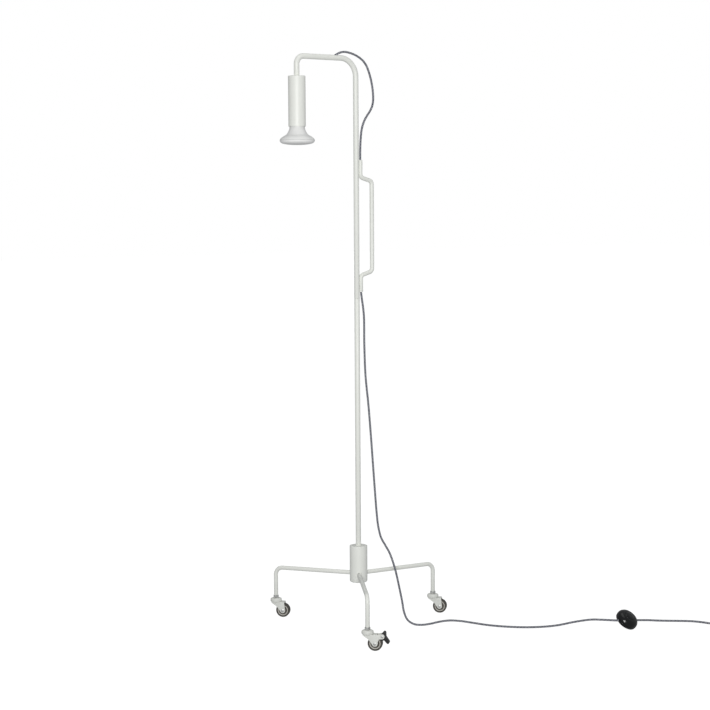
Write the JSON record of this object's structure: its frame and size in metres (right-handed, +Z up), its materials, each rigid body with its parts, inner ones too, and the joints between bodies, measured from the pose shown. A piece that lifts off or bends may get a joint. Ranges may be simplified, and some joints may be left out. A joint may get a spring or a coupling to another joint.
{
  "type": "pharmacy floor lamp",
  "caption": "Slim floor lamp on swivel casters: hooked arm with a tubular head and bare reflector bulb, side grip, textile lead with foot switch.",
  "frame": {"origin": "middle of the footprint box of the lamp without its free lead, on the floor", "axes": "+Z up along the pole, +X from the head towards the grip and leg A, +Y to the left of +X"},
  "size_m": [1.2077, 0.8979, 1.6125],
  "materials": {
    "enamel": "off-white powder coat, satin",
    "zinc_steel": "zinc plated",
    "caster_white": "off-white moulded",
    "wheel_grey": "moulded grey",
    "tyre": "soft dark rubber",
    "black_plastic": "black, polished",
    "bulb_white": "neutral white, semi gloss",
    "bulb_diffuser": "frosted",
    "holder_white": "white moulded thermoset",
    "brass": "plain",
    "led_board": "white solder mask",
    "lead_textile": "braided navy and white yarn"
  },
  "bodies": {
    "lamp": {"hub_body": "enamel", "lower_pole": "enamel", "upper_pole": "enamel", "handle": "enamel", "head_casing": "enamel", "leg_a": "enamel", "leg_b": "enamel", "leg_c": "enamel", "hub_bolt": "zinc_steel", "pole_foot_insert": "zinc_steel", "pole_coupler": "zinc_steel", "head_nipple": "zinc_steel", "head_lock_nut": "zinc_steel", "leg_a_set_screw": "zinc_steel", "leg_b_set_screw": "zinc_steel", "leg_c_set_screw": "zinc_steel", "caster_a_stem": "zinc_steel", "caster_a_nut": "zinc_steel", "caster_b_stem": "zinc_steel", "caster_b_nut": "zinc_steel", "caster_c_stem": "zinc_steel", "caster_c_nut": "zinc_steel", "caster_a_cap": "caster_white", "caster_b_cap": "caster_white", "caster_c_cap": "caster_white", "switch_base": "black_plastic", "switch_cover": "black_plastic", "plug_body": "black_plastic", "bulb_housing": "bulb_white", "bulb_diffuser": "bulb_diffuser", "lampholder_body": "holder_white", "lampholder_cap": "holder_white", "switch_contact_block": "holder_white", "bulb_cap": "brass", "plug_pin_left": "brass", "plug_pin_right": "brass", "bulb_led_board": "led_board", "cord_upper": "lead_textile", "cord_lower": "lead_textile", "cord_tail": "lead_textile", "cord_coil": "lead_textile", "arm_lead": "lead_textile", "handle_lead": "lead_textile"},
    "caster_a": {"caster_a_yoke": "caster_white", "caster_a_axle": "zinc_steel"},
    "caster_b": {"caster_b_yoke": "caster_white", "caster_b_axle": "zinc_steel"},
    "caster_c": {"caster_c_yoke": "caster_white", "caster_c_axle": "zinc_steel", "caster_c_brake_pin": "zinc_steel"},
    "wheel_a": {"caster_a_wheel": "wheel_grey", "caster_a_tyre": "tyre"},
    "wheel_b": {"caster_b_wheel": "wheel_grey", "caster_b_tyre": "tyre"},
    "wheel_c": {"caster_c_wheel": "wheel_grey", "caster_c_tyre": "tyre"},
    "brake_pedal": {"caster_c_brake_pedal": "black_plastic"},
    "foot_button": {"switch_button": "black_plastic"}
  },
  "joints": [
    {"name": "caster_a_swivel", "type": "hinge", "parent": "lamp", "child": "caster_a", "pos_m": [0.23593, 0.01525, 0.043], "axis": [0, 0, 1], "continuous": true},
    {"name": "wheel_a_spin", "type": "hinge", "parent": "caster_a", "child": "wheel_a", "pos_m": [0.25078, 0.0004, 0.02], "axis": [0.7071, 0.7071, 0], "continuous": true},
    {"name": "caster_b_swivel", "type": "hinge", "parent": "lamp", "child": "caster_b", "pos_m": [-0.16157, 0.24475, 0.043], "axis": [0, 0, 1], "continuous": true},
    {"name": "wheel_b_spin", "type": "hinge", "parent": "caster_b", "child": "wheel_b", "pos_m": [-0.14672, 0.2299, 0.02], "axis": [0.7071, 0.7071, 0], "continuous": true},
    {"name": "caster_c_swivel", "type": "hinge", "parent": "lamp", "child": "caster_c", "pos_m": [-0.16157, -0.21425, 0.043], "axis": [0, 0, 1], "continuous": true},
    {"name": "wheel_c_spin", "type": "hinge", "parent": "caster_c", "child": "wheel_c", "pos_m": [-0.14672, -0.2291, 0.02], "axis": [0.7071, 0.7071, 0], "continuous": true},
    {"name": "brake_release", "type": "hinge", "parent": "caster_c", "child": "brake_pedal", "pos_m": [-0.13258, -0.24324, 0.04], "axis": [-0.7071, -0.7071, 0], "range_deg": [0, 25]},
    {"name": "foot_button_press", "type": "slide", "parent": "lamp", "child": "foot_button", "axis": [-0.1449, 0.6168, -0.7737], "range_m": [0, 0.003], "stiffness_N_per_m": 800, "springref_m": -0.001}
  ]
}
